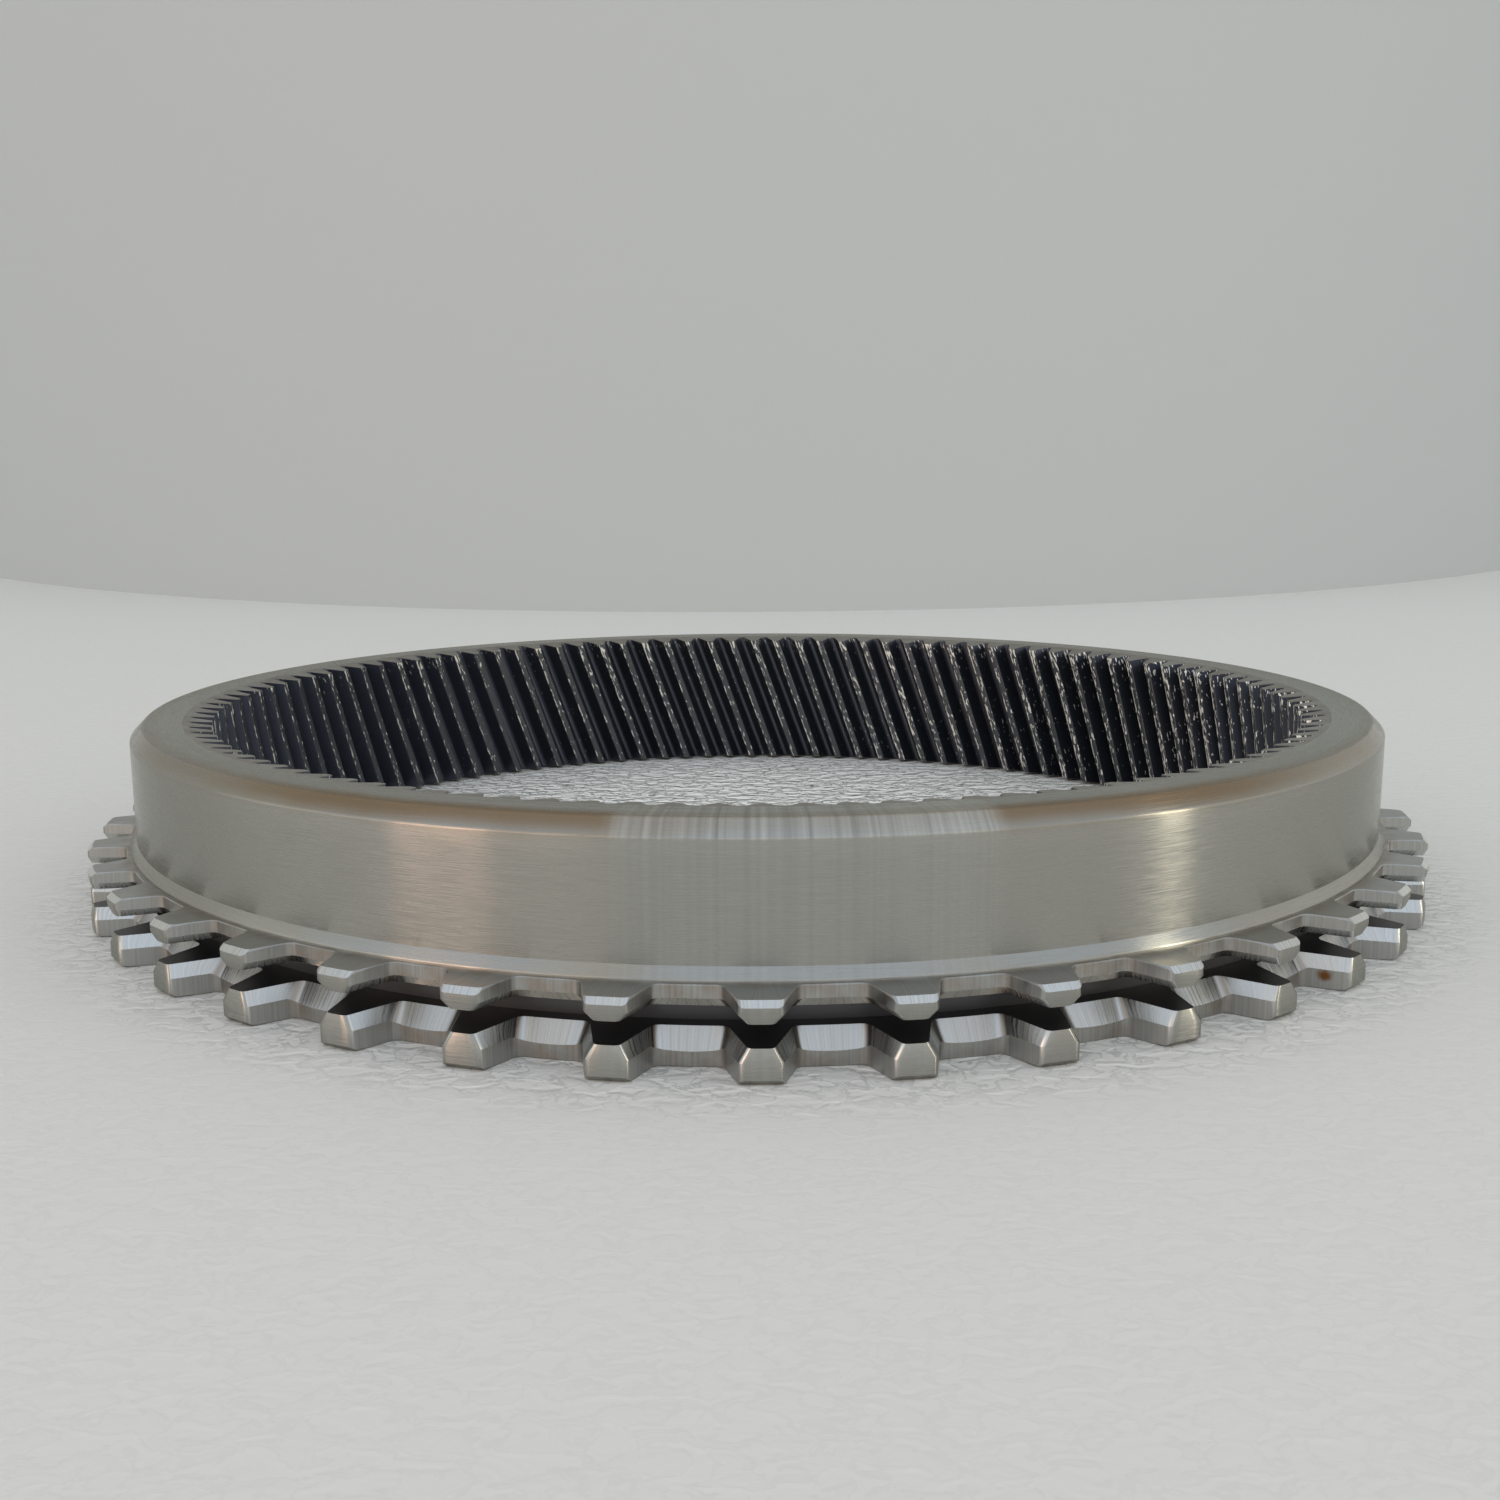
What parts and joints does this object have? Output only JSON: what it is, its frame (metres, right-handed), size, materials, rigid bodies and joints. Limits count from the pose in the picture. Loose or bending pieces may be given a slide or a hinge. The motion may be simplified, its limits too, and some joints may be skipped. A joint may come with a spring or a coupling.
{
  "type": "ring gear",
  "caption": "Flat steel ring gear: helical teeth line the bore, a smooth turned body stands above, and a coarse straight-sided spline split by a ring groove runs round its foot.",
  "frame": {"origin": "middle of the bottom face, on the ring's axis", "axes": "+Z along the ring's axis, from the splined end to the smooth rim; +X through the middle of a spline tooth"},
  "size_m": [0.1832, 0.1832, 0.0236],
  "materials": {
    "steel": "turned and cut steel, satin, with a dark finish on the inner teeth"
  },
  "bodies": {
    "root": {"ring_gear": "steel"}
  },
  "joints": []
}
